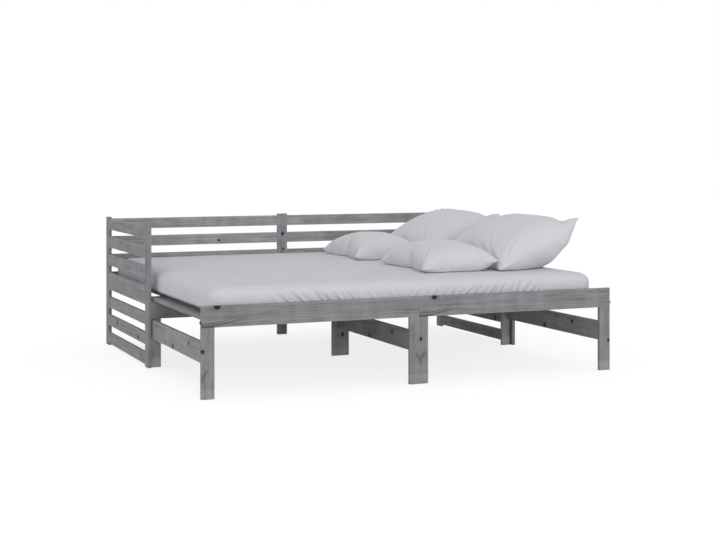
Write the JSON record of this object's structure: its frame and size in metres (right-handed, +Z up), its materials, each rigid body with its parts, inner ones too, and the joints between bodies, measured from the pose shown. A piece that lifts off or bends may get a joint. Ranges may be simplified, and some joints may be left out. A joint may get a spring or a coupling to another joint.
{
  "type": "pull-out daybed",
  "caption": "Slatted wooden daybed with open board ends and back; its front frame draws out on legs and its slats mesh like combs to make a double bed, with mattresses and pillows.",
  "frame": {"origin": "on the floor, under the middle of the drawn-out bed", "axes": "+X along the length towards the pillow end, +Y from the pull-out front to the slatted back, +Z up"},
  "size_m": [2.054, 1.84, 0.7084],
  "materials": {
    "wood": "matte",
    "bedding": "matte",
    "bolt": "satin"
  },
  "bodies": {
    "main": {"left_back_bed_rail": "wood", "left_back_ledger": "wood", "left_back_rail_1": "wood", "left_back_rail_2": "wood", "left_back_rail_3": "wood", "left_end_board_1": "wood", "left_end_board_2": "wood", "left_end_board_3": "wood", "left_end_board_4": "wood", "left_end_board_5": "wood", "left_end_board_6": "wood", "left_end_board_7": "wood", "left_front_post": "wood", "left_rear_post": "wood", "main_front_beam": "wood", "main_slats_left": "wood", "main_slats_right": "wood", "mattress_rear": "bedding", "middle_back_post": "wood", "pillow_large_rear": "bedding", "pillow_small_rear": "bedding", "right_back_bed_rail": "wood", "right_back_ledger": "wood", "right_back_rail_1": "wood", "right_back_rail_2": "wood", "right_back_rail_3": "wood", "right_end_board_1": "wood", "right_end_board_2": "wood", "right_end_board_3": "wood", "right_end_board_4": "wood", "right_end_board_5": "wood", "right_end_board_6": "wood", "right_end_board_7": "wood", "right_front_post": "wood", "right_rear_post": "wood"},
    "pull_out": {"front_ledger": "wood", "front_leg_left": "wood", "front_leg_middle": "wood", "front_leg_right": "wood", "front_rail_left": "wood", "front_rail_right": "wood", "pull_out_slat_middle": "wood", "pull_out_slats_left": "wood", "pull_out_slats_right": "wood", "rail_end_bolts": "bolt", "rear_cross_rail_left": "wood", "rear_cross_rail_right": "wood", "rear_leg_left": "wood", "rear_leg_middle": "wood", "rear_leg_right": "wood", "stretcher_left": "wood", "stretcher_middle": "wood", "stretcher_right": "wood", "mattress_front": "bedding", "pillow_large_front": "bedding", "pillow_small_front": "bedding"}
  },
  "joints": [
    {"name": "pull_out_slide", "type": "slide", "parent": "main", "child": "pull_out", "axis": [0, 1, 0], "range_m": [0, 0.85], "deforming": ["mattress_front", "mattress_rear", "pillow_large_front", "pillow_large_rear", "pillow_small_front", "pillow_small_rear"]}
  ]
}
